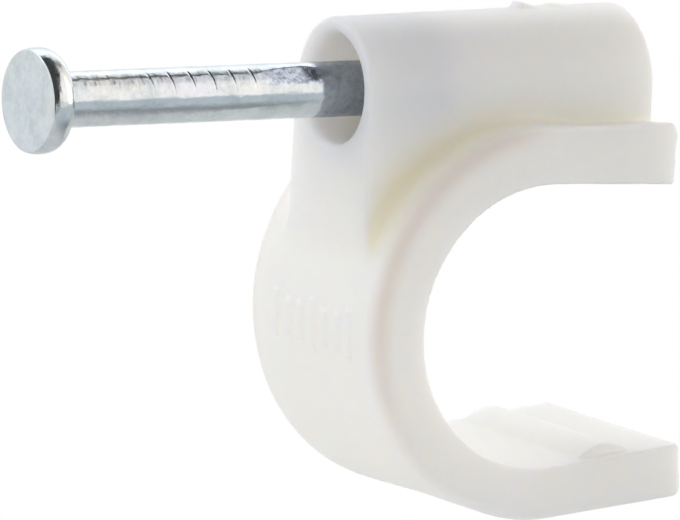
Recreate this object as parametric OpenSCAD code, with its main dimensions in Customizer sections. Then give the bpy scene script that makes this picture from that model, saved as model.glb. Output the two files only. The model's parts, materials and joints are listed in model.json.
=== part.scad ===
// Nail-in cable clip: a moulded hook with a boss on its back, and the nail that the boss holds ready.
// X runs along the nail into the wall, Y along the cable and Z up. The origin is where the nail's
// axis meets the wall face of the boss.

/* [Cable] */
// Diameter of the cable that the hook holds
cable_d = 12; // [8:0.5:20]
// Gap left between the cable and the wall
wall_gap = 0.05; // [0:0.05:1]

/* [Hook] */
// Thickness of the band round the cable
band_t = 2.3; // [1.6:0.1:3.4]
// Width of the band, along the cable
band_w = 10.2; // [8:0.1:14]
// Rounding of the band's outer edges
band_round = 0.6; // [0.2:0.05:0.8]
// Inward lean of the arm's inner face, in degrees
arm_lean = 2.3; // [0:0.1:4]
// Inward lean of the foot, in degrees
foot_lean = 6.2; // [0:0.1:8]
// Distance that the foot stands past the wall face, so that the wall presses it back
foot_proud = 0.85; // [0:0.05:1.5]
// Rounding of the corners at the ends of the arm and the foot
end_round = 0.25; // [0.1:0.05:0.6]

/* [Ridge] */
// Width of the ridge that keeps the cable from slipping off the foot
ridge_w = 2.5; // [1.5:0.1:3]
// Height of the ridge above the foot
ridge_h = 0.45; // [0.2:0.05:0.5]
// Distance from the end of the foot to the middle of the ridge
ridge_back = 3.4; // [2.8:0.1:3.6]
// Distance from each side of the band to the end of the ridge
ridge_inset = 0.55; // [0.2:0.05:1.5]

/* [Boss] */
// Width of the boss
boss_w = 6.2; // [5.8:0.1:7.5]
// Height of the nail's axis above the band
nail_rise = 1.2; // [0.5:0.1:2.5]
// Set-back of the boss's front face from the foremost point of the hook
boss_setback = 0.4; // [0.2:0.05:1.5]
// Rounding of the boss's front edge
boss_round = 0.3; // [0.1:0.05:0.5]
// Radius of the fillet between the boss and the band
root_fillet = 0.4; // [0.2:0.05:0.8]
// Depth of the sinking that takes the nail's head
sink_depth = 4.2; // [2:0.1:6]
// Depth of the lead-in from the sinking to the nail's bore
lead_in = 0.35; // [0.1:0.05:0.6]

/* [Nail] */
// Diameter of the nail's shank
nail_d = 2.4; // [2:0.1:2.8]
// Length of the nail from the face of its head to its point
nail_l = 25; // [22:0.5:35]
// Diameter of the nail's head
head_d = 4.3; // [3.8:0.1:4.8]
// Thickness of the nail's head
head_t = 1.2; // [0.8:0.1:1.5]
// Rounding of the head's rim, from its widest part to the face
rim_round = 0.5; // [0.3:0.05:0.6]
// Distance that the edge of the face lies inside the rim
face_inset = 0.07; // [0.02:0.01:0.12]
// Rounding of the rim's rear edge
head_round = 0.35; // [0.1:0.05:0.4]
// Length of the nail's four-sided point
point_l = 4; // [2.5:0.1:6]
// Distance from the boss's front face out to the face of the nail's head, before it is driven
nail_out = 14.75; // [8:0.05:17]

/* [Fits] */
// Radial clearance of the shank in its bore
nail_play = 0.05; // [0.01:0.01:0.1]
// Radial clearance of the head in its sinking
head_play = 0.15; // [0.05:0.05:0.3]

/* [Hidden] */
$fn = 96;
// Overlap of pieces that are joined, and the run of cuts past the surfaces that they open
lap = 0.2;
past = 1;

cable_r = cable_d / 2;
hook_r = cable_r + band_t;
arm_l = cable_r + wall_gap;
foot_l = (arm_l + foot_proud - cable_r * sin(foot_lean)) / cos(foot_lean);
nail_h = hook_r + nail_rise;

boss_r = boss_w / 2;
boss_l = hook_r - boss_setback + arm_l;
sink_r = head_d / 2 + head_play;
bore_r = nail_d / 2 + nail_play;
ridge_r = (ridge_w * ridge_w / 4 + ridge_h * ridge_h) / (2 * ridge_h);

// Moves a piece from the hook's frame, with the cable's axis as its Y axis, to the clip's frame
module at_hook() {
  translate([-arm_l, 0, -nail_h]) children();
}

// Draws a flat shape of the X-Z plane and gives it a width along Y
module across(width) {
  rotate([90, 0, 0]) linear_extrude(width, center = true) children();
}

// Half section of the band's blank: from the cable's axis to the band's outer face
module band_section() {
  half_w = band_w / 2;
  translate([0, -half_w]) square([hook_r - band_round, band_w]);
  translate([0, band_round - half_w]) square([hook_r, band_w - 2 * band_round]);
  for (side = [-1, 1])
    translate([hook_r - band_round, side * (half_w - band_round)]) circle(band_round);
}

// Blank of a straight run of the band, along +X, with its outer face up
module straight_run(length) {
  rotate([90, 0, 90]) linear_extrude(length) rotate(90) band_section();
}

// Rounds a corner at the origin whose solid lies towards -X and -Z
module corner_cut(radius) {
  across(band_w + 2 * past) difference() {
    translate([-radius, -radius]) square(radius + past);
    translate([-radius, -radius]) circle(radius);
  }
}

// Arm that carries the boss, cut square at the wall face
module arm_blank() {
  difference() {
    straight_run(arm_l);
    translate([arm_l, 0, hook_r]) corner_cut(end_round);
    rotate([0, arm_lean, 0])
      translate([(arm_l - cable_r * sin(arm_lean)) / cos(arm_lean), 0, cable_r])
        mirror([0, 0, 1]) corner_cut(end_round);
  }
}

// Foot below the cable, which leans inwards and stands past the wall face
module foot_blank() {
  rotate([0, -foot_lean, 0]) mirror([0, 0, 1]) difference() {
    straight_run(foot_l);
    translate([foot_l, 0, hook_r]) corner_cut(end_round);
    translate([foot_l, 0, cable_r]) mirror([0, 0, 1]) corner_cut(end_round);
  }
}

// Solid blank of the hook, before the cable's space is cut
module hook_blank() {
  rotate([90, 0, 0]) rotate(90) rotate_extrude(angle = 180 + foot_lean) band_section();
  arm_blank();
  foot_blank();
}

// Space of the cable, and its mouth between the arm and the foot
module cable_space() {
  reach = arm_l + foot_proud + hook_r;
  across(band_w + 2 * past) {
    circle(cable_r);
    polygon([
      [0, 0],
      cable_r * [sin(arm_lean), cos(arm_lean)],
      cable_r * [sin(arm_lean), cos(arm_lean)] + reach * [cos(arm_lean), -sin(arm_lean)],
      cable_r * [sin(foot_lean), -cos(foot_lean)] + reach * [cos(foot_lean), sin(foot_lean)],
      cable_r * [sin(foot_lean), -cos(foot_lean)]
    ]);
  }
}

// Low round ridge on the foot, along the cable
module ridge() {
  rotate([0, -foot_lean, 0]) translate([foot_l - ridge_back, 0, -cable_r])
    across(band_w - 2 * ridge_inset) intersection() {
      translate([0, ridge_h - ridge_r]) circle(ridge_r);
      translate([-ridge_w, -lap]) square([2 * ridge_w, ridge_h + 2 * lap]);
    }
}

// Half plan of the boss: its radius along X and its length, from the front face, along Y
module boss_plan() {
  translate([0, boss_round]) square([boss_r, boss_l - boss_round]);
  square([boss_r - boss_round, boss_l]);
  translate([boss_r - boss_round, boss_round]) circle(boss_round);
}

// Boss with a round back, on a web of its own width that runs down into the hook
module boss() {
  translate([-boss_l, 0, 0]) {
    rotate([0, 90, 0]) rotate(90) rotate_extrude(angle = 180) boss_plan();
    translate([0, 0, -nail_h]) linear_extrude(nail_h) rotate(-90) {
      boss_plan();
      mirror([1, 0]) boss_plan();
    }
  }
}

// Section of the fillet at the root of the boss, where its side meets the band's outer face
module fillet_section() {
  for (side = [0, 1]) mirror([0, side]) difference() {
    translate([hook_r - lap, boss_r - lap]) square(root_fillet + lap);
    translate([hook_r + root_fillet, boss_r + root_fillet]) circle(root_fillet);
  }
}

// Fillets along the root of the boss, round the hook and along the arm, behind the boss's front face
module root_fillets() {
  reach = hook_r + root_fillet;
  intersection() {
    union() {
      rotate([90, 0, 0]) rotate(90) rotate_extrude(angle = 90) fillet_section();
      rotate([90, 0, 90]) linear_extrude(arm_l) rotate(90) fillet_section();
    }
    translate([arm_l - boss_l + boss_round, -reach, 0]) cube([boss_l - boss_round, 2 * reach, reach]);
  }
}

// Bore that grips the nail, the sinking for its head and the lead-in between them
module nail_bore() {
  rotate([0, 90, 0]) {
    translate([0, 0, -boss_l - past]) cylinder(r = bore_r, h = boss_l + 2 * past);
    translate([0, 0, -boss_l - past]) cylinder(r = sink_r, h = sink_depth + past);
    translate([0, 0, sink_depth - boss_l]) cylinder(r1 = bore_r + lead_in, r2 = bore_r, h = lead_in);
  }
}

// Moulded clip: hook, boss and web in one piece
module clip_body() {
  color("ivory") {
    difference() {
      union() {
        at_hook() hook_blank();
        at_hook() root_fillets();
        boss();
      }
      at_hook() cable_space();
      nail_bore();
    }
    at_hook() ridge();
  }
}

// Half section of the nail's head and shank: its radius along X and its length, from the face, along Y
module nail_section() {
  head_r = head_d / 2;
  rim_h = sqrt(rim_round * rim_round - pow(rim_round - face_inset, 2));
  square([head_r - rim_round, head_t]);
  translate([0, rim_h]) square([head_r, head_t - head_round - rim_h]);
  translate([0, rim_h]) square([head_r - head_round, head_t - rim_h]);
  translate([head_r - head_round, head_t - head_round]) circle(head_round);
  intersection() {
    translate([head_r - rim_round, rim_h]) circle(rim_round);
    square([head_r, head_t]);
  }
  square([nail_d / 2, nail_l]);
}

// Wedge that leaves one pair of the point's four flanks
module point_wedge() {
  shoulder = nail_l - point_l * head_d / nail_d;
  across(head_d + 2 * past) polygon([
    [-head_d, 0],
    [head_d, 0],
    [head_d / 2, shoulder],
    [0, nail_l],
    [-head_d / 2, shoulder]
  ]);
}

// Plated steel nail, held ready in the boss
module nail() {
  color("silver") translate([-boss_l - nail_out, 0, 0]) rotate([0, 90, 0]) intersection() {
    rotate_extrude() nail_section();
    point_wedge();
    rotate(90) point_wedge();
  }
}

clip_body();
nail();
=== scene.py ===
"""Looks of a nail-in cable clip: an off-white moulded hook and the zinc-plated nail that its boss holds."""

import json
import logging
import math
from dataclasses import dataclass
from enum import Enum
from typing import Callable, Optional, Union

import bpy
import numpy as np
from mathutils import Matrix, Vector


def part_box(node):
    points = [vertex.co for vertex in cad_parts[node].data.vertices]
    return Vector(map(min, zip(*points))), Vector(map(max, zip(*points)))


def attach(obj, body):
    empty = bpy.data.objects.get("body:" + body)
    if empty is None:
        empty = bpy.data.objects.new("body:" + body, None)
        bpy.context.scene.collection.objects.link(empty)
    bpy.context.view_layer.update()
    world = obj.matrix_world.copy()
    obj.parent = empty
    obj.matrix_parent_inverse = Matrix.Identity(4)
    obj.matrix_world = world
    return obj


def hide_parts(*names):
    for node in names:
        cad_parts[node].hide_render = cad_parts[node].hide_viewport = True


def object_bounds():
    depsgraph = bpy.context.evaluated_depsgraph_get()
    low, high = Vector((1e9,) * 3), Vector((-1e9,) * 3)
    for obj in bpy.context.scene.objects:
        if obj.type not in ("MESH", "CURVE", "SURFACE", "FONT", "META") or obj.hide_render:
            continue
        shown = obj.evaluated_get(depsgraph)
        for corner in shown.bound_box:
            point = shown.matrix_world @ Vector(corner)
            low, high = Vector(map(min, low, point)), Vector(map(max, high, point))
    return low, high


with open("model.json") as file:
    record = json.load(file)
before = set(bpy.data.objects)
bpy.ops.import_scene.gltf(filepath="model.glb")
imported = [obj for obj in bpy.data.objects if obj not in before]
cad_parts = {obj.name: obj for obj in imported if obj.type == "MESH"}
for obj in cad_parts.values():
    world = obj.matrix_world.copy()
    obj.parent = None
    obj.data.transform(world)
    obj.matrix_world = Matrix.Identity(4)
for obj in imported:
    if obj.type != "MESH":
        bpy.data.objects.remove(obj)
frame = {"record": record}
cad_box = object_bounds()

LOG = logging.getLogger("cable_clip")
MM = 0.001
# Names of the mesh values that carry painted shade, and painted light in the sinking
ROOT_SHADE = "root_shade"
EDGE_SHADE = "edge_shade"

# Spread of the ripples' wave numbers about the one that the wavelength gives
RIPPLE_SPREAD = (0.7, 1.4)

Span = tuple[float, float]
Triple = tuple[float, float, float]
Colour = Triple
Size = Union[float, np.ndarray]
Field = Callable[[np.ndarray], np.ndarray]

WHITE: Colour = (1.0, 1.0, 1.0)


def round_cut(a: np.ndarray, b: np.ndarray, radius: Size) -> np.ndarray:
    """Intersects two solids and rounds the edge between them.

    Args:
        a: Signed distances to the first solid, negative inside.
        b: Signed distances to the second solid.
        radius: Radius of the rounded edge, one for all places or one each.

    Returns:
        Signed distances to what both solids share.
    """
    corner = np.hypot(np.maximum(radius + a, 0.0), np.maximum(radius + b, 0.0))
    return np.minimum(-radius, np.maximum(a, b)) + corner


def round_join(a: np.ndarray, b: np.ndarray, radius: Size) -> np.ndarray:
    """Joins two solids and fills the corner between them with a fillet.

    Args:
        a: Signed distances to the first solid, negative inside.
        b: Signed distances to the second solid.
        radius: Radius of the fillet, one for all places or one each.

    Returns:
        Signed distances to the joined solid.
    """
    return -round_cut(-a, -b, radius)


def ease(value: np.ndarray, start: float, end: float) -> np.ndarray:
    """Rises smoothly from 0 at start to 1 at end, or falls where start is the larger."""
    share = np.clip((value - start) / (end - start), 0.0, 1.0)
    return share * share * (3.0 - 2.0 * share)


def between(first: Size, last: Size, share: Size) -> Size:
    """A value that turns from the first to the last as the share goes from 0 to 1."""
    return first + (last - first) * share


def ripple(points: np.ndarray, wavelength: float, seed: int, waves: int = 7) -> np.ndarray:
    """Smooth random waviness through space.

    Args:
        points: Places to sample, one row each.
        wavelength: Typical distance between crests.
        seed: Seed of the wave directions and phases.
        waves: Number of plane waves that are added.

    Returns:
        Values of about -1 to 1, one for each place.
    """
    draw = np.random.default_rng(seed)
    total = np.zeros(len(points))
    for _ in range(waves):
        heading = draw.normal(size=3)
        heading *= draw.uniform(*RIPPLE_SPREAD) * 2.0 * math.pi / wavelength / np.linalg.norm(heading)
        total += np.sin(points @ heading + draw.uniform(0.0, 2.0 * math.pi))
    return total / math.sqrt(2.0 * waves)


class SurfaceNet:
    """Turns a field of signed distances into a closed mesh of even quads."""

    margin_cells: int = 2
    probe_share: float = 0.25

    def __init__(self, distance: Field, low: np.ndarray, high: np.ndarray, step: float) -> None:
        """Samples the field on a grid.

        Args:
            distance: Field whose zero level is the surface.
            low: Lowest corner of the solid's box.
            high: Highest corner of the solid's box.
            step: Grid spacing.
        """
        self.distance = distance
        self.step = step
        self.origin = np.asarray(low) - self.margin_cells * step
        counts = np.ceil((np.asarray(high) - self.origin) / step).astype(int) + self.margin_cells + 1
        axes = [self.origin[k] + step * np.arange(counts[k]) for k in range(3)]
        grid = np.stack(np.meshgrid(*axes, indexing="ij"), axis=-1)
        self.value = distance(grid.reshape(-1, 3)).reshape(grid.shape[:3])

    def _corner(self, offset: tuple[int, ...]) -> np.ndarray:
        """Values at one corner of every cell."""
        spans = [slice(o, n - 1 + o) for o, n in zip(offset, self.value.shape)]
        return self.value[tuple(spans)]

    def _cell_points(self) -> tuple[np.ndarray, np.ndarray]:
        """Finds one surface point in each cell that the surface crosses.

        Returns:
            The points, and the number of each cell's point, or -1.
        """
        shape = tuple(n - 1 for n in self.value.shape)
        total = np.zeros(shape + (3,))
        count = np.zeros(shape)
        for axis in range(3):
            first, second = [k for k in range(3) if k != axis]
            for i in (0, 1):
                for j in (0, 1):
                    start = [0, 0, 0]
                    start[first], start[second] = i, j
                    end = list(start)
                    end[axis] = 1
                    a, b = self._corner(tuple(start)), self._corner(tuple(end))
                    crossed = (a < 0.0) != (b < 0.0)
                    share = np.where(crossed, a / np.where(crossed, a - b, 1.0), 0.0)
                    for k in range(3):
                        total[..., k] += np.where(crossed, start[k], 0.0) + (share if k == axis else 0.0)
                    count += crossed
        active = count > 0
        number = np.full(shape, -1)
        number[active] = np.arange(int(active.sum()))
        points = self.origin + self.step * (np.argwhere(active) + total[active] / count[active][:, None])
        return points, number

    def _quads(self, number: np.ndarray) -> np.ndarray:
        """Joins the points of the four cells round each grid edge that the surface crosses.

        Args:
            number: Number of each cell's point, or -1.

        Returns:
            Point numbers of the quads, one row each, wound to face outwards.
        """
        quads = []
        inside = self.value < 0.0
        for axis in range(3):
            step = np.eye(3, dtype=int)
            across, up = step[(axis + 1) % 3], step[(axis + 2) % 3]
            near = inside[tuple(slice(0, n - 1) for n in inside.shape)]
            far_spans = [slice(s, n - 1 + s) for s, n in zip(step[axis], inside.shape)]
            edges = np.argwhere(near != inside[tuple(far_spans)])
            ring = [edges, edges - across, edges - across - up, edges - up]
            quad = np.stack([number[tuple(cell.T)] for cell in ring], axis=1)
            leaving = near[tuple(edges.T)]
            quad[~leaving] = quad[~leaving][:, ::-1]
            quads.append(quad)
        return np.concatenate(quads)

    def slope(self, points: np.ndarray) -> np.ndarray:
        """Finds the surface's direction from the field.

        Args:
            points: Places on the surface, one row each.

        Returns:
            Unit outward normals, one row each.
        """
        reach = self.probe_share * self.step
        axes = np.eye(3) * reach
        rise = [self.distance(points + d) - self.distance(points - d) for d in axes]
        normals = np.stack(rise, axis=1)
        return normals / np.linalg.norm(normals, axis=1, keepdims=True)

    def build(self, passes: int = 4) -> tuple[np.ndarray, np.ndarray, np.ndarray]:
        """Makes the mesh and settles its points on the surface.

        Args:
            passes: Number of times that the points are moved onto the surface.

        Returns:
            Points, quads and unit normals.
        """
        points, number = self._cell_points()
        for _ in range(passes):
            offset = np.clip(self.distance(points), -self.step, self.step)
            points = points - offset[:, None] * self.slope(points)
        return points, self._quads(number), self.slope(points)


def make_piece(
    name: str, points: np.ndarray, faces: list[list[int]], normals: Optional[np.ndarray] = None
) -> bpy.types.Object:
    """Makes a smooth mesh object from points in millimetres.

    Args:
        name: Name of the object.
        points: Points of the mesh, in the clip's frame.
        faces: Point numbers of each face.
        normals: Unit normals of the points, where the surface gives them.

    Returns:
        The object, linked to the scene.
    """
    mesh = bpy.data.meshes.new(name)
    mesh.from_pydata((points * MM).tolist(), [], faces)
    mesh.validate()
    mesh.polygons.foreach_set("use_smooth", [True] * len(mesh.polygons))
    if normals is not None:
        mesh.normals_split_custom_set_from_vertices(normals.tolist())
    mesh.update()
    piece = bpy.data.objects.new(name, mesh)
    bpy.context.scene.collection.objects.link(piece)
    return piece


Operand = Union["Signal", float]


class Signal:
    """A node's output socket, with Python's operators for shader maths on values."""

    def __init__(self, graph: "NodeGraph", socket: bpy.types.NodeSocket) -> None:
        """Wraps a socket of the graph."""
        self.graph = graph
        self.socket = socket

    def _math(self, operation: str, a: Operand, b: Operand) -> "Signal":
        """Adds one Math node."""
        return self.graph.add("ShaderNodeMath", {"operation": operation}, {0: a, 1: b})

    def __add__(self, other: Operand) -> "Signal":
        """Sum."""
        return self._math("ADD", self, other)

    def __radd__(self, other: Operand) -> "Signal":
        """Sum with a number on the left."""
        return self._math("ADD", other, self)

    def __sub__(self, other: Operand) -> "Signal":
        """Difference."""
        return self._math("SUBTRACT", self, other)

    def __rsub__(self, other: Operand) -> "Signal":
        """Difference from a number on the left."""
        return self._math("SUBTRACT", other, self)

    def __mul__(self, other: Operand) -> "Signal":
        """Product."""
        return self._math("MULTIPLY", self, other)

    def __rmul__(self, other: Operand) -> "Signal":
        """Product with a number on the left."""
        return self._math("MULTIPLY", other, self)

    def at_least(self, other: Operand) -> "Signal":
        """The larger of two values."""
        return self._math("MAXIMUM", self, other)

    def rising(self, start: float, end: float) -> "Signal":
        """Rises smoothly from 0 at start to 1 at end."""
        inputs = {"Value": self, "From Min": start, "From Max": end}
        return self.graph.add("ShaderNodeMapRange", {"interpolation_type": "SMOOTHSTEP"}, inputs)


class NodeGraph:
    """A node tree that is written in code, from one method that adds a node."""

    def __init__(self, tree: bpy.types.NodeTree) -> None:
        """Empties the tree."""
        self.tree = tree
        tree.nodes.clear()

    def add(
        self,
        kind: str,
        settings: Optional[dict] = None,
        inputs: Optional[dict] = None,
        output: Union[int, str] = 0,
    ) -> Signal:
        """Adds a node.

        Args:
            kind: Type of the node.
            settings: Properties of the node, which are set first.
            inputs: Values of its sockets or signals that feed them, by name or number.
            output: Name or number of the output that is returned.

        Returns:
            The output's signal. A node with no output gives its first input's socket.
        """
        node = self.tree.nodes.new(kind)
        for key, value in (settings or {}).items():
            setattr(node, key, value)
        for key, value in (inputs or {}).items():
            socket = node.inputs[key]
            if isinstance(value, Signal):
                self.tree.links.new(value.socket, socket)
            elif socket.type == "RGBA":
                socket.default_value = (*value[:3], 1.0)
            else:
                socket.default_value = value
        return Signal(self, node.outputs[output] if node.outputs else node.inputs[0])

    def blend(self, share: Operand, a: Union[Signal, Colour], b: Union[Signal, Colour]) -> Signal:
        """Mixes two colours, a at a share of 0 and b at 1."""
        return self.add("ShaderNodeMix", {"data_type": "RGBA"}, {0: share, 6: a, 7: b}, output=2)

    def held(self, name: str) -> Signal:
        """A value that the mesh holds at each of its points."""
        return self.add("ShaderNodeAttribute", {"attribute_name": name}, output="Fac")

    def axes(self, vector: Signal) -> tuple[Signal, ...]:
        """A vector's parts along X, Y and Z."""
        return tuple(self.add("ShaderNodeSeparateXYZ", None, {0: vector}, output=axis) for axis in "XYZ")

    def place(self, stretch: Triple = (1.0, 1.0, 1.0)) -> Signal:
        """The place on the object in metres, stretched along its axes."""
        here = self.add("ShaderNodeTexCoord", output="Object")
        return self.add("ShaderNodeMapping", None, {"Vector": here, "Scale": stretch})

    def noise(self, place: Signal, size: float, detail: float = 3.0, roughness: float = 0.5) -> Signal:
        """Cloudy noise of about 0 to 1 with features of a size in metres."""
        inputs = {"Vector": place, "Scale": 1.0 / size, "Detail": detail, "Roughness": roughness}
        return self.add("ShaderNodeTexNoise", None, inputs)

    def bump(
        self, height: Signal, depth: float, strength: float = 1.0, over: Optional[Signal] = None
    ) -> Signal:
        """Adds a Bump node.

        Args:
            height: Height of the relief, from 0 to 1.
            depth: Depth of the relief in metres.
            strength: Share of the relief that shows.
            over: Normal that the relief lies on, where it isn't the mesh's own.

        Returns:
            The normal that follows the relief.
        """
        inputs = {"Strength": strength, "Distance": depth, "Height": height}
        if over is not None:
            inputs["Normal"] = over
        return self.add("ShaderNodeBump", None, inputs)

    def backdrop(self, mirrored: Operand) -> Signal:
        """Finds where plain white stands in for the surroundings.

        Args:
            mirrored: Share of white in what metal shows.

        Returns:
            Shares of white: all that the camera or glass sees, and the given share of what metal shows.
        """
        rays = ("Is Camera Ray", "Is Glossy Ray", "Is Transmission Ray")
        seen, shiny, through = (self.add("ShaderNodeLightPath", output=ray) for ray in rays)
        return seen.at_least(through).at_least(shiny * mirrored)

    def surface(self, shader: Signal, output: str = "ShaderNodeOutputMaterial") -> None:
        """Ends the graph in its surface output."""
        self.add(output, None, {"Surface": shader})


@dataclass(frozen=True)
class MouldedPlastic:
    """Satin off-white polyethylene, a little translucent, with faint flow marks from the mould."""

    # The plastic's own two colours, then painted shade along the boss's root and the band's edges, and
    # painted light in the sinking
    warm: Colour = (0.935, 0.918, 0.880)
    pale: Colour = (0.943, 0.933, 0.911)
    root_shade_colour: Colour = (0.915, 0.882, 0.770)
    edge_shade_colour: Colour = (0.835, 0.76, 0.715)
    sinking_light: Colour = (0.985, 0.976, 0.955)
    # Clouds and flow marks
    cloud_size: float = 5.0 * MM
    cloud_share: float = 0.65
    flow_size: float = 2.0 * MM
    flow_stretch: Triple = (1.0, 1.0, 0.35)
    tint_range: Span = (0.3, 0.7)
    # Relief of the surface
    grain_size: float = 0.35 * MM
    grain_depth: float = 0.004 * MM
    grain_strength: float = 0.6
    swell_size: float = 1.6 * MM
    swell_depth: float = 0.012 * MM
    # Gloss, and the light that passes through
    gloss_low: float = 0.36
    gloss_spread: float = 0.14
    ior: float = 1.5
    glow_share: float = 1.0
    glow_reach: Triple = (1.0, 0.88, 0.70)
    glow_scale: float = 2.4 * MM

    def material(self) -> bpy.types.Material:
        """Builds the material.

        Returns:
            The finished material.
        """
        material = bpy.data.materials.new("moulded_plastic")
        material.use_nodes = True
        graph = NodeGraph(material.node_tree)
        place = graph.place()
        clouds = graph.noise(place, self.cloud_size, detail=2.0)
        flow = graph.noise(graph.place(self.flow_stretch), self.flow_size, detail=4.0, roughness=0.6)
        tint = (self.cloud_share * clouds + (1.0 - self.cloud_share) * flow).rising(*self.tint_range)
        fresh = graph.blend(tint, self.warm, self.pale)
        # Painted shade: olive along the boss's root and ledge, pink-brown along the band's edges; painted
        # light: paler plastic in the sinking
        shade = graph.held(ROOT_SHADE)
        root_shaded = graph.blend(shade.at_least(0.0), fresh, self.root_shade_colour)
        edge_shaded = graph.blend(graph.held(EDGE_SHADE), root_shaded, self.edge_shade_colour)
        colour = graph.blend((0.0 - shade).at_least(0.0), edge_shaded, self.sinking_light)
        swell = graph.noise(place, self.swell_size, detail=1.0)
        grain = graph.noise(place, self.grain_size)
        waves = graph.bump(swell, self.swell_depth)
        relief = graph.bump(grain, self.grain_depth, self.grain_strength, over=waves)
        shader = graph.add(
            "ShaderNodeBsdfPrincipled",
            {"subsurface_method": "RANDOM_WALK"},
            {
                "Base Color": colour,
                "Roughness": self.gloss_low + self.gloss_spread * flow,
                "IOR": self.ior,
                "Subsurface Weight": self.glow_share,
                "Subsurface Radius": self.glow_reach,
                "Subsurface Scale": self.glow_scale,
                "Normal": relief,
            },
        )
        graph.surface(shader)
        return material


@dataclass(frozen=True)
class ZincPlate:
    """Bright zinc plating on drawn wire: a mottled bloom, drawing lines, and painted shade in dark slate on
    a rougher stretch by the boss.
    """

    # Mottled bloom
    dull: Colour = (0.52, 0.59, 0.62)
    bright: Colour = (0.66, 0.715, 0.74)
    bloom_size: float = 0.9 * MM
    bloom_share: float = 0.6
    spangle_size: float = 0.28 * MM
    shine_range: Span = (0.32, 0.66)
    # Patches of tint
    patch_size: float = 2.7 * MM
    straw: Colour = (0.70, 0.68, 0.60)
    straw_share: float = 0.40
    straw_range: Span = (0.5, 0.75)
    lilac: Colour = (0.66, 0.675, 0.75)
    lilac_share: float = 0.45
    lilac_range: Span = (0.25, 0.5)
    # Painted shade: dark slate on the shank from just before the boss, which is also rougher
    slate: Colour = (0.30, 0.34, 0.385)
    slate_light: Colour = (0.47, 0.51, 0.55)
    slate_from: float = -15.1 * MM
    slate_fade: float = 0.06 * MM
    slate_ragged: float = 0.5 * MM
    slate_bloom: float = 0.5
    slate_range: Span = (0.36, 0.68)
    slate_gloss: float = 0.22
    # Speckled flat of the scoop, with its direction in Y and Z and its level in millimetres
    flat_dark: Colour = (0.34, 0.375, 0.47)
    flat_light: Colour = (0.60, 0.67, 0.78)
    flat_share: float = 0.85
    flat_from: float = -17.7 * MM
    flat_fade: float = 0.5 * MM
    flat_side: Span = (-0.682, 0.731)
    flat_level: Span = (1.03, 1.08)
    speckle_range: Span = (0.42, 0.58)
    # Relief and gloss
    line_stretch: Triple = (0.08, 1.0, 1.0)
    line_size: float = 0.16 * MM
    line_depth: float = 0.006 * MM
    line_strength: float = 0.5
    pit_depth: float = 0.010 * MM
    pit_strength: float = 0.8
    gloss_low: float = 0.09
    gloss_spread: float = 0.18

    def material(self) -> bpy.types.Material:
        """Builds the material.

        Returns:
            The finished material.
        """
        material = bpy.data.materials.new("zinc_plate")
        material.use_nodes = True
        graph = NodeGraph(material.node_tree)
        place = graph.place()
        bloom = graph.noise(place, self.bloom_size, detail=5.0, roughness=0.62)
        spangle = graph.noise(place, self.spangle_size, detail=4.0, roughness=0.7)
        patches = graph.noise(place, self.patch_size, detail=2.0)
        shine = (self.bloom_share * bloom + (1.0 - self.bloom_share) * spangle).rising(*self.shine_range)
        metal = graph.blend(shine, self.dull, self.bright)
        lilac = self.lilac_share * (1.0 - patches.rising(*self.lilac_range))
        straw = self.straw_share * patches.rising(*self.straw_range)
        tinted = graph.blend(straw, graph.blend(lilac, metal, self.lilac), self.straw)
        run, side, height = graph.axes(graph.add("ShaderNodeTexCoord", output="Object"))
        along = run + self.slate_ragged * (spangle - 0.5)
        out = (1.0 / MM) * (self.flat_side[0] * side + self.flat_side[1] * height)
        flat = (out * out).rising(self.flat_level[0] ** 2, self.flat_level[1] ** 2)
        rubbed = flat * along.rising(self.flat_from - self.flat_fade, self.flat_from + self.flat_fade)
        speckle = graph.blend(spangle.rising(*self.speckle_range), self.flat_dark, self.flat_light)
        speckled = graph.blend(self.flat_share * rubbed, tinted, speckle)
        # Painted shade: the shank turns dark slate from just before the boss's mouth on
        shaded_stretch = along.rising(self.slate_from - self.slate_fade, self.slate_from + self.slate_fade)
        grey = (self.slate_bloom * bloom + (1.0 - self.slate_bloom) * spangle).rising(*self.slate_range)
        colour = graph.blend(shaded_stretch, speckled, graph.blend(grey, self.slate, self.slate_light))
        lines = graph.noise(graph.place(self.line_stretch), self.line_size)
        drawn = graph.bump(lines, self.line_depth, self.line_strength)
        pitted = graph.bump(spangle, self.pit_depth, self.pit_strength, over=drawn)
        gloss = self.gloss_low + self.gloss_spread * (1.0 - shine) + self.slate_gloss * shaded_stretch
        inputs = {"Base Color": colour, "Metallic": 1.0, "Roughness": gloss, "Normal": pitted}
        graph.surface(graph.add("ShaderNodeBsdfPrincipled", None, inputs))
        return material


class Body(Enum):
    """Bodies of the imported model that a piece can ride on."""

    CLIP = "clip"
    NAIL = "nail"


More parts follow.
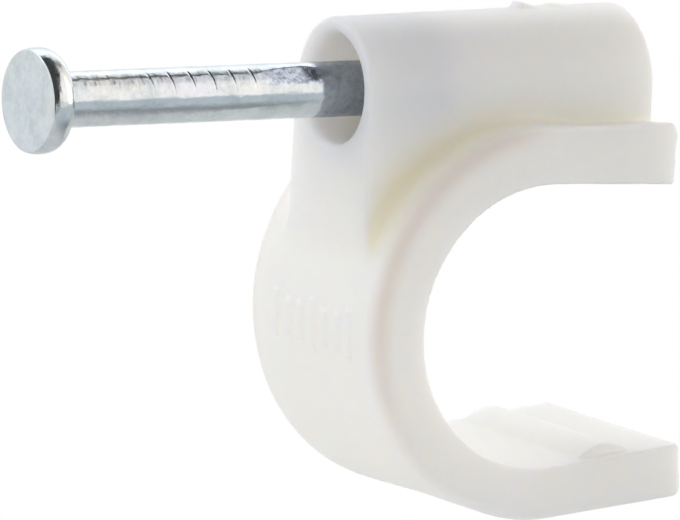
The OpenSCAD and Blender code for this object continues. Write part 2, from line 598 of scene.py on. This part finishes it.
@dataclass
class MouldedClip:
    """The moulded hook with its foot, ridge, web and bored boss, with sizes in millimetres."""

    cable_r: float
    hook_r: float
    arm_l: float
    nail_h: float
    boss_r: float
    band_w: float
    # Sizes that the solid has too
    arm_lean: float = math.radians(2.3)
    foot_lean: float = math.radians(6.2)
    foot_proud: float = 0.85
    boss_setback: float = 0.4
    sink_r: float = 2.3
    sink_depth: float = 4.2
    bore_r: float = 1.25
    ridge_w: float = 2.5
    ridge_h: float = 0.45
    ridge_back: float = 3.4
    ridge_inset: float = 0.55
    band_round: float = 0.6
    # Rounding and draft, with the places where one value turns into the next
    arm_edge: float = 0.16
    edge_run: Span = (-2.5, 0.5)
    root_fillet: float = 0.6
    arm_fillet: float = 0.16
    fillet_run: Span = (-2.0, 3.0)
    front_round: float = 0.13
    crown_round: float = 0.3
    crown_rise: Span = (-2.0, 1.0)
    end_round: float = 0.2
    side_round: float = 0.08
    rear_round: float = 0.25
    rear_draft: float = 0.07
    rear_rise: Span = (-0.4, -0.1)
    boss_draft: float = 0.0125
    draft_from: float = 0.43
    inner_round: float = 0.06
    throat_r: float = 4.0
    mouth_round: float = 0.25
    mouth_flare: float = 0.5
    flare_low: float = 0.4
    flare_across: Span = (-1.0, 1.2)
    flare_rise: Span = (-2.0, 1.5)
    # Uneven shrinking
    taper: float = 0.05
    sole_lean: float = math.radians(5.4)
    ledge_dip: float = 0.2
    dip_run: Span = (-1.5, 2.5)
    heel_dent: float = 0.12
    heel_turn: float = math.radians(24.0)
    heel_spread: float = math.radians(15.0)
    heel_share: float = 0.4
    sag: float = 0.008
    sag_size: float = 4.5
    # Painted shade along the boss's root, the ledge beside it and the band's edges, and painted light in
    # the sinking
    shade_reach: float = 1.9
    shade_front: Span = (-0.05, 0.25)
    shade_side: Span = (0.0, -1.0)
    shade_fade: float = 0.75
    shade_run: Span = (-4.5, 1.5)
    ledge_shade: float = 0.7
    ledge_near: Span = (0.5, 0.2)
    ledge_out: Span = (0.0, 0.3)
    sinking_light_reach: float = 0.5
    sinking_light_fade: float = 0.3
    edge_reach: float = 1.05
    edge_shade: float = 0.95
    edge_low: float = -0.9
    # Row of ticks
    tick_count: int = 7
    tick_group: int = 3
    tick_gap: float = 0.95
    tick_half_w: float = 0.2
    tick_tall: float = 2.1
    tick_short: float = 1.5
    tick_side: Span = (0.1, -0.05)
    tick_end: Span = (0.1, -0.1)
    tick_relief: float = 0.11
    tick_level: float = -0.36
    tick_skin: float = 0.5
    # Scar of the mould's gate
    gate_y: float = 0.25
    gate_half_w: float = 0.6
    gate_skin: float = 0.7
    flake_end: float = -4.05
    flake_l: float = 0.87
    flake_tip: float = 1.15
    flake_rise: float = 0.25
    mound_x: float = -3.15
    mound_r: float = 0.34
    mound_rise: float = 0.09
    mesh_step: float = 0.124

    @classmethod
    def from_frame(cls, record: dict) -> "MouldedClip":
        """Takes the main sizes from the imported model.

        Args:
            record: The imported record, whose mounts place the cable.

        Returns:
            The clip, ready to build.
        """
        mounts = {mount["name"]: mount for mount in record["mounts"]}
        seat = mounts["cable_seat"]
        low, high = (np.array(corner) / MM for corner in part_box("clip_body"))
        arm_l = -seat["pos_m"][0] / MM
        return cls(
            cable_r=seat["dims"]["r_mm"],
            hook_r=-low[0] - arm_l,
            arm_l=arm_l,
            nail_h=-seat["pos_m"][2] / MM,
            boss_r=high[2],
            band_w=high[1] - low[1],
        )

    @property
    def boss_l(self) -> float:
        """Length of the boss, from its front face to the wall face."""
        return self.hook_r - self.boss_setback + self.arm_l

    @property
    def foot_l(self) -> float:
        """Length of the straight foot."""
        reach = self.arm_l + self.foot_proud - self.cable_r * math.sin(self.foot_lean)
        return reach / math.cos(self.foot_lean)

    def _front(self, x: np.ndarray, z: np.ndarray) -> np.ndarray:
        """Distance to the boss's front face and the throat that runs it into the hook.

        Args:
            x: Distances from the bend's middle towards the wall.
            z: Heights above the bend's middle.

        Returns:
            Distances, negative behind the face.
        """
        face = self.boss_setback - self.hook_r
        u, w = x + self.taper, z - self.taper
        centre_u = face + self.taper - self.throat_r
        centre_w = math.sqrt((self.hook_r + self.throat_r) ** 2 - centre_u**2)
        in_throat = (w > 0.0) & (w < centre_w) & (centre_u * w < centre_w * u)
        throat = self.throat_r - np.hypot(u - centre_u, w - centre_w)
        return np.where(in_throat, throat, face - x)

    def distance(self, points: np.ndarray) -> np.ndarray:
        """Signed distance to the clip's surface.

        Args:
            points: Places in millimetres in the clip's frame, one row each.

        Returns:
            Distances, negative inside the plastic.
        """
        along, across, height = points.T
        x, z = along + self.arm_l, height + self.nail_h
        upper = z > 0.0
        foot_u, foot_n = self._on_foot(x, z, self.foot_lean)
        raised = ease(z, self.hook_r + self.rear_rise[0], self.hook_r + self.rear_rise[1])
        slant = math.sin(self.arm_lean) * np.minimum(z - self.hook_r, 0.0)
        ends = np.where(upper, along + self.rear_draft * raised - slant, foot_u - self.foot_l)
        cap = self._cap(x, across, z)
        side = np.abs(across) - 0.5 * self.band_w
        edge = between(self.band_round, self.arm_edge, ease(x, *self.edge_run) * upper)
        hook = np.maximum(round_cut(cap, side, edge), round_cut(cap, ends, self.end_round))
        fillet = between(self.root_fillet, self.arm_fillet, ease(x, *self.fillet_run))
        rooted = round_join(hook, np.maximum(self._back(along, across, height), -z), fillet)
        front_edge = between(self.front_round, self.crown_round, ease(height, *self.crown_rise))
        solid = np.minimum(hook, round_cut(rooted, self._front(x, z), front_edge))
        solid = round_cut(solid, ends, between(self.side_round, self.rear_round, raised))
        space = self._outline(x, z, self.arm_lean, self.foot_lean, self.cable_r)
        solid = round_cut(solid, -space, self.inner_round)
        off_axis = np.hypot(across, height)
        sink = np.maximum(off_axis - self.sink_r, along + self.boss_l - self.sink_depth)
        solid = round_cut(solid, -sink, self._mouth(across, height))
        solid = round_cut(solid, self.bore_r - off_axis, self.inner_round)
        solid = round_join(solid, self._ridge(foot_u, foot_n, across), self.inner_round)
        return solid - self._ticks(x, across, z) - self._gate(along, across, height) + self._sag(points)

    def _mouth(self, across: np.ndarray, height: np.ndarray) -> np.ndarray:
        """Rounding of the sinking's mouth, which is softer on one side and towards its top."""
        rise = between(self.flare_low, 1.0, ease(height, *self.flare_rise))
        return self.mouth_round + self.mouth_flare * ease(across, *self.flare_across) * rise

    def _cap(self, x: np.ndarray, across: np.ndarray, z: np.ndarray) -> np.ndarray:
        """Distance to the band's outer face, which dips beside the boss and has shrunk flat at the heel.

        Args:
            x: Distances from the bend's middle towards the wall.
            across: Distances along the cable.
            z: Heights above the bend's middle.

        Returns:
            Distances, negative towards the bend's middle.
        """
        turn = np.arctan2(-x, -z)
        heel = np.exp(-(((turn - self.heel_turn) / self.heel_spread) ** 2)) * (z < 0.0)
        heel *= ease(across, self.heel_share * self.band_w, 0.0)
        beside = ease(np.abs(across), 0.5 * self.band_w, self.boss_r)
        dip = beside * ease(x, *self.dip_run) * (z > 0.0)
        outline = self._outline(x + self.taper, z - self.taper, 0.0, self.sole_lean, self.hook_r)
        return outline + self.heel_dent * heel + self.ledge_dip * dip

    def _back(self, along: np.ndarray, across: np.ndarray, height: np.ndarray) -> np.ndarray:
        """Distance to the boss's round back and the sides of its web."""
        boss_r = self.boss_r + self.boss_draft * (along + self.draft_from * self.boss_l)
        return np.where(height > 0.0, np.hypot(across, height), np.abs(across)) - boss_r

    def _root_shade(self, points: np.ndarray) -> np.ndarray:
        """Share of painted shade along the root of the boss and on the ledge beside it, on the -Y side
        only.

        Args:
            points: Places on the surface, in millimetres.

        Returns:
            Shares from 0 to 1, one for each place, or down to -1 in the sinking, where light is painted in.
        """
        along, across, height = points.T
        x, z = along + self.arm_l, height + self.nail_h
        cap = np.abs(self._cap(x, across, z))
        back = self._back(along, across, height)
        root = ease(np.maximum(cap, np.abs(back)), self.shade_reach, 0.0)
        ledge = self.ledge_shade * ease(cap, *self.ledge_near) * ease(back, *self.ledge_out)
        behind_face = ease(along + self.boss_l, *self.shade_front) * ease(across, *self.shade_side)
        faded = behind_face * (1.0 - self.shade_fade * ease(x, *self.shade_run))
        rooted = np.maximum(root, ledge) * faded * (z > 0.0)
        # Painted light: the sinking's walls take a paler colour, held as shares below 0
        sink_end = self.sink_depth - self.boss_l
        sunk = ease(np.hypot(across, height), self.sink_r + self.sinking_light_reach, self.sink_r)
        return rooted - sunk * ease(along, sink_end + self.sinking_light_fade, sink_end)

    def _edge_shade(self, points: np.ndarray) -> np.ndarray:
        """Share of painted shade along the band's outer edges, which fades along the arm and the foot.

        Args:
            points: Places on the surface, in millimetres.

        Returns:
            Shares from 0 to 1, one for each place.
        """
        along, across, height = points.T
        x, z = along + self.arm_l, height + self.nail_h
        edge = np.maximum(np.abs(self._cap(x, across, z)), np.abs(np.abs(across) - 0.5 * self.band_w))
        faded = ease(z, self.edge_low * self.hook_r, 0.0) * (1.0 - ease(x, *self.edge_run))
        return self.edge_shade * ease(edge, self.edge_reach, 0.0) * faded

    @staticmethod
    def _on_foot(x: np.ndarray, z: np.ndarray, lean: float) -> tuple[np.ndarray, np.ndarray]:
        """Distances along the leaning foot and out from the cable's axis, square to it."""
        sin_foot, cos_foot = math.sin(lean), math.cos(lean)
        return x * cos_foot + z * sin_foot, x * sin_foot - z * cos_foot

    def _outline(
        self, x: np.ndarray, z: np.ndarray, arm_lean: float, foot_lean: float, radius: float
    ) -> np.ndarray:
        """Distance to the hook's outline seen along the cable: a bend with the arm and the foot.

        Args:
            x: Distances from the bend's middle towards the wall.
            z: Heights above the bend's middle.
            arm_lean: Inward lean of the arm's face.
            foot_lean: Inward lean of the foot's face.
            radius: Radius of the bend.

        Returns:
            Distances, negative towards the bend's middle.
        """
        foot_u, foot_n = self._on_foot(x, z, foot_lean)
        arm_u = x * math.cos(arm_lean) - z * math.sin(arm_lean)
        arm_n = x * math.sin(arm_lean) + z * math.cos(arm_lean)
        lower = np.where((z <= 0.0) & (foot_u > 0.0), foot_n, np.hypot(x, z))
        return np.where((z > 0.0) & (arm_u > 0.0), arm_n, lower) - radius

    def _ticks(self, x: np.ndarray, across: np.ndarray, z: np.ndarray) -> np.ndarray:
        """Relief of a plain row of low bars on the front of the hook.

        Args:
            x: Distances from the bend's middle towards the wall.
            across: Distances along the cable.
            z: Heights above the bend's middle.

        Returns:
            Heights of the relief.
        """
        height = np.arctan2(z - self.tick_level, -x) * self.hook_r
        place = across / self.tick_gap + 0.5 * (self.tick_count - 1)
        number = np.clip(np.round(place), 0, self.tick_count - 1)
        half_h = 0.5 * np.where(number % self.tick_group == 0, self.tick_tall, self.tick_short)
        bar = ease(np.abs(place - number) * self.tick_gap - self.tick_half_w, *self.tick_side)
        bar *= ease(np.abs(height) - half_h, *self.tick_end)
        return self.tick_relief * bar * (np.hypot(x, z) > self.hook_r - self.tick_skin)

    def _gate(self, along: np.ndarray, across: np.ndarray, height: np.ndarray) -> np.ndarray:
        """Relief of the torn flake and the low mound that the mould's gate leaves on the boss's crown.

        Args:
            along: Places along the nail.
            across: Distances along the cable.
            height: Heights above the nail's axis.

        Returns:
            Heights of the relief.
        """
        run = (self.flake_end - along) / self.flake_l
        flake = np.maximum(run, 0.0) * ease(run, self.flake_tip, 1.0)
        mound = np.exp(-(((along - self.mound_x) / self.mound_r) ** 2))
        beside = ease(np.abs(across - self.gate_y), self.gate_half_w, 0.5 * self.gate_half_w)
        relief = self.flake_rise * flake + self.mound_rise * mound
        return relief * beside * (height > self.boss_r - self.gate_skin)

    def _sag(self, points: np.ndarray) -> np.ndarray:
        """Faint unevenness of a moulding that has shrunk as it cooled."""
        return self.sag * ripple(points, self.sag_size, seed=11)

    def _ridge(self, foot_u: np.ndarray, foot_n: np.ndarray, across: np.ndarray) -> np.ndarray:
        """Distance to the ridge on the foot.

        Args:
            foot_u: Distances along the foot.
            foot_n: Distances out from the cable's axis, square to the foot.
            across: Distances along the cable.

        Returns:
            Distances, negative inside the ridge.
        """
        ridge_r = (0.25 * self.ridge_w**2 + self.ridge_h**2) / (2.0 * self.ridge_h)
        crest = self.cable_r - self.ridge_h + ridge_r
        crown = np.hypot(foot_u - self.foot_l + self.ridge_back, foot_n - crest) - ridge_r
        root = foot_n - self.cable_r - self.ridge_h
        half_l = 0.5 * self.band_w - self.ridge_inset
        return round_cut(np.maximum(crown, root), np.abs(across) - half_l, 0.5 * self.inner_round)

    def build(self, finish: MouldedPlastic) -> bpy.types.Object:
        """Builds and dresses the clip.

        Args:
            finish: Finish of the plastic.

        Returns:
            The finished piece.
        """
        low, high = (np.array(corner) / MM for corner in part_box("clip_body"))
        net = SurfaceNet(self.distance, low, high, self.mesh_step)
        points, quads, normals = net.build()
        piece = make_piece("moulded_clip", points, quads.tolist(), normals)
        # Painted shade along the root and the band's edges, and painted light in the sinking, held at the
        # mesh's points
        shades = {ROOT_SHADE: self._root_shade(points), EDGE_SHADE: self._edge_shade(points)}
        for name, shares in shades.items():
            piece.data.attributes.new(name, "FLOAT", "POINT").data.foreach_set("value", shares)
        piece.data.materials.append(finish.material())
        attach(piece, Body.CLIP.value)
        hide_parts("clip_body")
        return piece


@dataclass
class PlatedNail:
    """The plated nail with its flat head, die marks and four-sided point, with sizes in millimetres."""

    face_x: float
    length: float
    head_d: float
    # Head, shank and point
    shank_r: float = 1.16
    head_t: float = 1.25
    rim_proud: float = 0.05
    face_set: float = 0.09
    rim_round: float = 1.6
    rim_high: float = 0.52
    face_round: float = 0.10
    rear_inset: float = 0.40
    point_l: float = 4.0
    tip_r: float = 0.012
    # Nicks of the gripper die, across a lane on either side
    mark_first: float = 3.49
    mark_pitch: float = 0.98
    mark_count: int = 8
    mark_depth: float = 0.022
    mark_half_w: float = 0.05
    mark_side: float = math.radians(38.0)
    mark_slant: float = 0.12
    lane_share: float = 0.35
    lane_half: Span = (math.radians(36.0), math.radians(14.0))
    nick_turn: float = math.radians(17.0)
    nick_spread: float = math.radians(9.0)
    bite_least: float = 0.15
    bite_from: float = 1.0
    bite_run: float = 2.0
    burr_share: float = 0.5
    burr_shift: float = 1.6
    # Scoop behind the nicks
    scoop_start: float = 10.3
    scoop_end: float = 14.0
    scoop_deep: float = 0.68
    scoop_turn: float = math.radians(47.0)
    scoop_half: float = math.radians(22.5)
    scoop_rise: float = 1.25
    scoop_least: float = 0.5
    # Shallow dents
    dent_depth: float = 0.005
    dent_size: float = 0.7
    dent_level: float = 0.5
    dent_fine: float = 0.4
    dent_start: Span = (0.02, 0.3)
    # Rings of the mesh
    rounds: int = 128
    hub_r: float = 0.02
    face_rings: int = 24
    edge_rings: int = 7
    front_rings: int = 14
    back_rings: int = 16
    under_rings: int = 6
    neck_gap: float = 0.03
    fine_step: float = 0.025
    coarse_step: float = 0.08
    point_rings: int = 40
    tip_gap: float = 0.02

    @classmethod
    def from_frame(cls) -> "PlatedNail":
        """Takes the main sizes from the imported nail."""
        low, high = (np.array(corner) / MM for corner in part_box("nail"))
        return cls(face_x=low[0], length=high[0] - low[0], head_d=high[1] - low[1])

    def _stations(self) -> tuple[np.ndarray, np.ndarray]:
        """Radius and distance from the head's face along the nail's outline.

        Returns:
            Radii and distances, from the middle of the face to the point.
        """
        head_r = 0.5 * self.head_d + self.rim_proud
        rim_mid = head_r - self.rim_round
        lead = math.asin((self.rim_high - self.face_round) / (self.rim_round - self.face_round))
        flat_r = rim_mid + (self.rim_round - self.face_round) * math.cos(lead)
        widest = self.face_set + self.rim_high
        face = [(r, self.face_set) for r in np.linspace(self.hub_r, flat_r, self.face_rings)[:-1]]
        edge = [
            (flat_r + self.face_round * math.cos(a), self.face_set + self.face_round * (1.0 - math.sin(a)))
            for a in np.linspace(0.5 * math.pi, lead, self.edge_rings)
        ]
        front = [
            (rim_mid + self.rim_round * math.cos(a), widest - self.rim_round * math.sin(a))
            for a in np.linspace(lead, 0.0, self.front_rings)[1:]
        ]
        rear_r, rear_h = head_r - self.rear_inset, self.head_t - widest
        back = [
            (rear_r + self.rear_inset * math.cos(a), widest + rear_h * math.sin(a))
            for a in np.linspace(0.0, 0.5 * math.pi, self.back_rings)[1:]
        ]
        under = [(r, self.head_t) for r in np.linspace(rear_r, self.shank_r, self.under_rings)[1:]]
        shank_end = self.length - self.point_l
        marks_end = self.mark_first + self.mark_count * self.mark_pitch
        fine = np.arange(self.head_t + self.neck_gap, marks_end, self.fine_step)
        coarse = np.arange(marks_end, shank_end, self.coarse_step)
        point = np.linspace(shank_end, self.length - self.tip_gap, self.point_rings)
        shank = [(self.shank_r, d) for d in np.concatenate([fine, coarse, point])]
        outline = np.array(face + edge + front + back + under + shank)
        return outline[:, 0], outline[:, 1]

    def _marks(self, distance: np.ndarray, angle: np.ndarray) -> np.ndarray:
        """Depth of the gripper die's nicks and of the scoop behind them, on two opposite sides.

        Args:
            distance: Distances from the head's face.
            angle: Angles round the shank.

        Returns:
            Depths, one for each place.
        """
        depth = np.zeros(np.broadcast(distance, angle).shape)
        for side in (self.mark_side, self.mark_side + math.pi):
            turn = np.angle(np.exp(1j * (angle - side)))
            nick = np.exp(-(((turn - self.nick_turn) / self.nick_spread) ** 2))
            reach = between(nick, ease(np.abs(turn), *self.lane_half), self.lane_share)
            for k in range(self.mark_count):
                middle = self.mark_first + k * self.mark_pitch - self.mark_slant * turn
                offset = (distance - middle) / self.mark_half_w
                grip = min(1.0, max(k - self.bite_from, 0.0) / self.bite_run)
                burr = np.exp(-(offset**2)) - self.burr_share * np.exp(-((offset - self.burr_shift) ** 2))
                depth += self.mark_depth * between(self.bite_least, 1.0, grip) * reach * burr
            depth = np.maximum(depth, self._scoop(distance, angle - side))
        return depth

    def _scoop(self, distance: np.ndarray, turn: np.ndarray) -> np.ndarray:
        """Depth of the flat that the die's end leaves: a long ramp that curves up again at its end.

        Args:
            distance: Distances from the head's face.
            turn: Angles round the shank, from the nicks' side.

        Returns:
            Depths, one for each place.
        """
        along = (distance - self.scoop_start) / (self.scoop_end - self.scoop_start)
        rise = np.clip((along - self.scoop_deep) / (1.0 - self.scoop_deep), 0.0, 1.0)
        sink = ease(along, 0.0, self.scoop_deep) * (1.0 - rise**self.scoop_rise)
        level = self.shank_r * (1.0 - sink * (1.0 - math.cos(self.scoop_half)))
        lane = np.cos(turn - (self.scoop_turn - self.mark_side))
        return np.maximum(self.shank_r - level / np.maximum(lane, self.scoop_least), 0.0)

    def _dents(self, distance: np.ndarray, turn: np.ndarray) -> np.ndarray:
        """Share of its radius that the drawn wire and the upset rim lose in shallow dents.

        Args:
            distance: Distances from the head's face.
            turn: Angles round the nail.

        Returns:
            Shares, one for each place.
        """
        aside, above = self.shank_r * np.cos(turn), self.shank_r * np.sin(turn)
        places = np.stack([distance, aside, above], axis=-1).reshape(-1, 3)
        waves = ripple(places, self.dent_size, seed=5)
        waves += self.dent_fine * ripple(places, self.dent_fine * self.dent_size, seed=6)
        dents = self.dent_depth * np.maximum(waves + self.dent_level, 0.0) / self.shank_r
        return dents.reshape(distance.shape) * ease(distance, *self.dent_start)

    def build(self, finish: ZincPlate) -> bpy.types.Object:
        """Builds and dresses the nail.

        Args:
            finish: Finish of the plating.

        Returns:
            The finished piece.
        """
        radius, distance = self._stations()
        angle = np.linspace(0.0, 2.0 * math.pi, self.rounds, endpoint=False)
        turn, run = np.meshgrid(angle, distance)
        taper = np.maximum(self.length - run, 0.0) * self.shank_r / self.point_l
        flank = taper / np.maximum(np.abs(np.cos(turn)), np.abs(np.sin(turn)))
        spread = np.minimum(radius[:, None], np.maximum(flank, self.tip_r)) - self._marks(run, turn)
        spread *= 1.0 - self._dents(run, turn)
        points = np.stack([self.face_x + run, -spread * np.cos(turn), spread * np.sin(turn)], axis=-1)
        faces = self._faces(len(distance))
        piece = make_piece("plated_nail", points.reshape(-1, 3), faces)
        piece.data.materials.append(finish.material())
        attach(piece, Body.NAIL.value)
        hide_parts("nail")
        return piece

    def _faces(self, stations: int) -> list[list[int]]:
        """Joins neighbouring stations with quads and closes either end with one face.

        Args:
            stations: Number of stations along the nail.

        Returns:
            Point numbers of each face.
        """
        faces = []
        for i in range(stations - 1):
            for j in range(self.rounds):
                k = (j + 1) % self.rounds
                near, far = i * self.rounds, (i + 1) * self.rounds
                faces.append([near + j, near + k, far + k, far + j])
        faces.append(list(reversed(range(self.rounds))))
        last = (stations - 1) * self.rounds
        faces.append([last + j for j in range(self.rounds)])
        return faces


@dataclass(frozen=True)
class PaleFloor:
    """Plain pale floor, white behind and to the left of the object and bluish grey in front, with a painted
    shadow near the object and a dark patch further out in front.
    """

    drop: float = 30.0 * MM
    half_size: float = 6.0
    white: Colour = (0.93, 0.93, 0.92)
    # Painted shadow near the object in front
    dull: Colour = (0.40, 0.41, 0.42)
    bluish: Colour = (0.82, 0.88, 0.91)
    dark: Colour = (0.03, 0.03, 0.035)
    near: float = 0.055
    far: float = 0.11
    dull_start: float = -0.002
    dull_end: float = 0.045
    dull_side: Triple = (0.80, -0.60, 0.0)
    dark_side: Triple = (-0.20, -0.98, 0.0)
    dark_spread: Span = (0.955, 0.985)

    def build(self, under: float) -> bpy.types.Object:
        """Builds the floor.

        Args:
            under: Height of the object's lowest point.

        Returns:
            The floor, which isn't part of the object.
        """
        size, level = self.half_size, under - self.drop
        mesh = bpy.data.meshes.new("floor")
        corners = [(-size, -size, level), (size, -size, level), (size, size, level), (-size, size, level)]
        mesh.from_pydata(corners, [], [[0, 1, 2, 3]])
        floor = bpy.data.objects.new("floor", mesh)
        bpy.context.scene.collection.objects.link(floor)
        mesh.materials.append(self.material())
        return floor

    def material(self) -> bpy.types.Material:
        """Builds the floor's material.

        Returns:
            A matt material that runs out to the white background.
        """
        material = bpy.data.materials.new("pale_floor")
        material.use_nodes = True
        graph = NodeGraph(material.node_tree)
        here = graph.add("ShaderNodeTexCoord", output="Object")
        reach = graph.add("ShaderNodeVectorMath", {"operation": "LENGTH"}, {0: here}, output="Value")
        heading = graph.add("ShaderNodeVectorMath", {"operation": "NORMALIZE"}, {0: here})
        front = self._towards(graph, here, self.dull_side).rising(self.dull_start, self.dull_end)
        away = reach.rising(self.near, self.far)
        shade = self._towards(graph, heading, self.dark_side).rising(*self.dark_spread) * away
        shown = graph.backdrop(1.0 - front.at_least(shade))
        # Painted shadow near the object in front; further out in front the floor is bluish grey
        front_and_shadow = graph.blend(away, self.dull, self.bluish)
        colour = graph.blend(shade, graph.blend(front, self.white, front_and_shadow), self.dark)
        matt = graph.add("ShaderNodeBsdfDiffuse", None, {"Color": colour})
        white = graph.add("ShaderNodeEmission", None, {"Color": WHITE, "Strength": 1.0})
        graph.surface(graph.add("ShaderNodeMixShader", None, {0: shown * away, 1: matt, 2: white}))
        return material

    @staticmethod
    def _towards(graph: NodeGraph, place: Signal, side: Triple) -> Signal:
        """How far a place lies towards a side."""
        inputs = {0: place, 1: side}
        return graph.add("ShaderNodeVectorMath", {"operation": "DOT_PRODUCT"}, inputs, output="Value")


@dataclass(frozen=True)
class Studio:
    """Soft white surroundings: lit from the left, the right and behind, with a dark lane over the camera.

    Places across a lane are a heading's part along X. Turns are degrees, from the front up and over.
    """

    left: Colour = (0.96, 0.965, 0.99)
    overhead: Colour = (1.60, 1.61, 1.64)
    behind: Colour = (1.01, 1.03, 1.07)
    behind_low: Span = (135.0, 165.0)
    softbox: Colour = (1.36, 1.25, 1.20)
    softbox_top: Colour = (1.10, 1.06, 1.06)
    softbox_fade: Span = (45.0, 78.0)
    hot: Colour = (1.98, 1.84, 1.65)
    mild: Colour = (1.18, 1.13, 1.07)
    hot_end: Span = (60.0, 80.0)
    dark: Colour = (0.06, 0.06, 0.065)
    lane_left: Span = (-0.46, -0.36)
    lane_right: Span = (0.43, 0.50)
    lane_low: Span = (30.0, 70.0)
    lane_shift: float = 0.18
    hot_from: Span = (0.62, 0.76)
    lane_end: Span = (112.0, 122.0)
    gap_start: Span = (87.0, 96.5)
    gap_end: Span = (102.5, 106.5)
    gap_left: Span = (0.30, 0.40)
    gap_right: Span = (0.68, 0.78)
    horizon: Span = (0.06, 0.16)

    def light(self) -> None:
        """Sets the world that lights the object."""
        world = bpy.data.worlds.new("studio")
        bpy.context.scene.world = world
        world.use_nodes = True
        graph = NodeGraph(world.node_tree)
        x, y, z = graph.axes(graph.add("ShaderNodeTexCoord", output="Generated"))
        turn = graph.add("ShaderNodeMath", {"operation": "ARCTAN2"}, {0: z, 1: 0.0 - y}) * math.degrees(1.0)
        strong = graph.blend(turn.rising(*self.hot_end), self.hot, self.mild)
        soft = graph.blend(turn.rising(*self.softbox_fade), self.softbox, self.softbox_top)
        right = graph.blend(x.rising(*self.hot_from), soft, strong)
        sky = graph.blend(x.rising(*self.lane_left), self.left, self.dark)
        low = 1.0 - turn.rising(*self.lane_low)
        sky = graph.blend((x + self.lane_shift * low).rising(*self.lane_right), sky, right)
        rear = turn.rising(*self.lane_end)
        rear_light = graph.blend(turn.rising(*self.behind_low), self.overhead, self.behind)
        sky = graph.blend(rear, sky, rear_light)
        gap = turn.rising(*self.gap_start) * (1.0 - turn.rising(*self.gap_end))
        gap *= x.rising(*self.gap_left) * (1.0 - x.rising(*self.gap_right))
        sky = graph.blend(gap, sky, self.dark)
        mirrored = rear * (1.0 - z.rising(*self.horizon))
        shown = graph.blend(graph.backdrop(mirrored), sky, WHITE)
        graph.surface(
            graph.add("ShaderNodeBackground", None, {"Color": shown, "Strength": 1.0}),
            "ShaderNodeOutputWorld",
        )


@dataclass(frozen=True)
class PhotoCamera:
    """Long lens at the photograph's viewing angle."""

    azimuth: float = math.radians(-32.326)
    elevation: float = math.radians(9.256)
    roll: float = math.radians(2.991)
    distance: float = 0.5
    lens: float = 637.0
    sensor: float = 36.0
    clip_start: float = 0.01
    aim: Triple = (-12.905 * MM, 0.388 * MM, -7.294 * MM)

    def build(self) -> bpy.types.Object:
        """Makes the scene's camera.

        Returns:
            The camera object.
        """
        sin_a, cos_a = math.sin(self.azimuth), math.cos(self.azimuth)
        sin_e, cos_e = math.sin(self.elevation), math.cos(self.elevation)
        back = Vector((sin_a * cos_e, -cos_a * cos_e, sin_e))
        level = Vector((cos_a, sin_a, 0.0))
        rise = back.cross(level)
        right = level * math.cos(self.roll) + rise * math.sin(self.roll)
        up = rise * math.cos(self.roll) - level * math.sin(self.roll)
        data = bpy.data.cameras.new("photo_camera")
        data.sensor_fit = "HORIZONTAL"
        data.sensor_width = self.sensor
        data.lens = self.lens
        data.clip_start = self.clip_start
        camera = bpy.data.objects.new("photo_camera", data)
        bpy.context.scene.collection.objects.link(camera)
        turn = Matrix((right, up, back)).transposed().to_4x4()
        camera.matrix_world = Matrix.Translation(Vector(self.aim) + back * self.distance) @ turn
        bpy.context.scene.camera = camera
        return camera


def main() -> None:
    """Builds the pieces, the studio and the camera, and logs each piece's face count."""
    logging.basicConfig(level=logging.INFO, format="%(name)s: %(message)s")
    bpy.context.scene.view_settings.view_transform = "Standard"
    pieces = [
        MouldedClip.from_frame(frame["record"]).build(MouldedPlastic()),
        PlatedNail.from_frame().build(ZincPlate()),
    ]
    for piece in pieces:
        LOG.info("%s has %d faces", piece.name, len(piece.data.polygons))
    PaleFloor().build(cad_box[0][2])
    Studio().light()
    PhotoCamera().build()


if __name__ == "__main__":
    main()
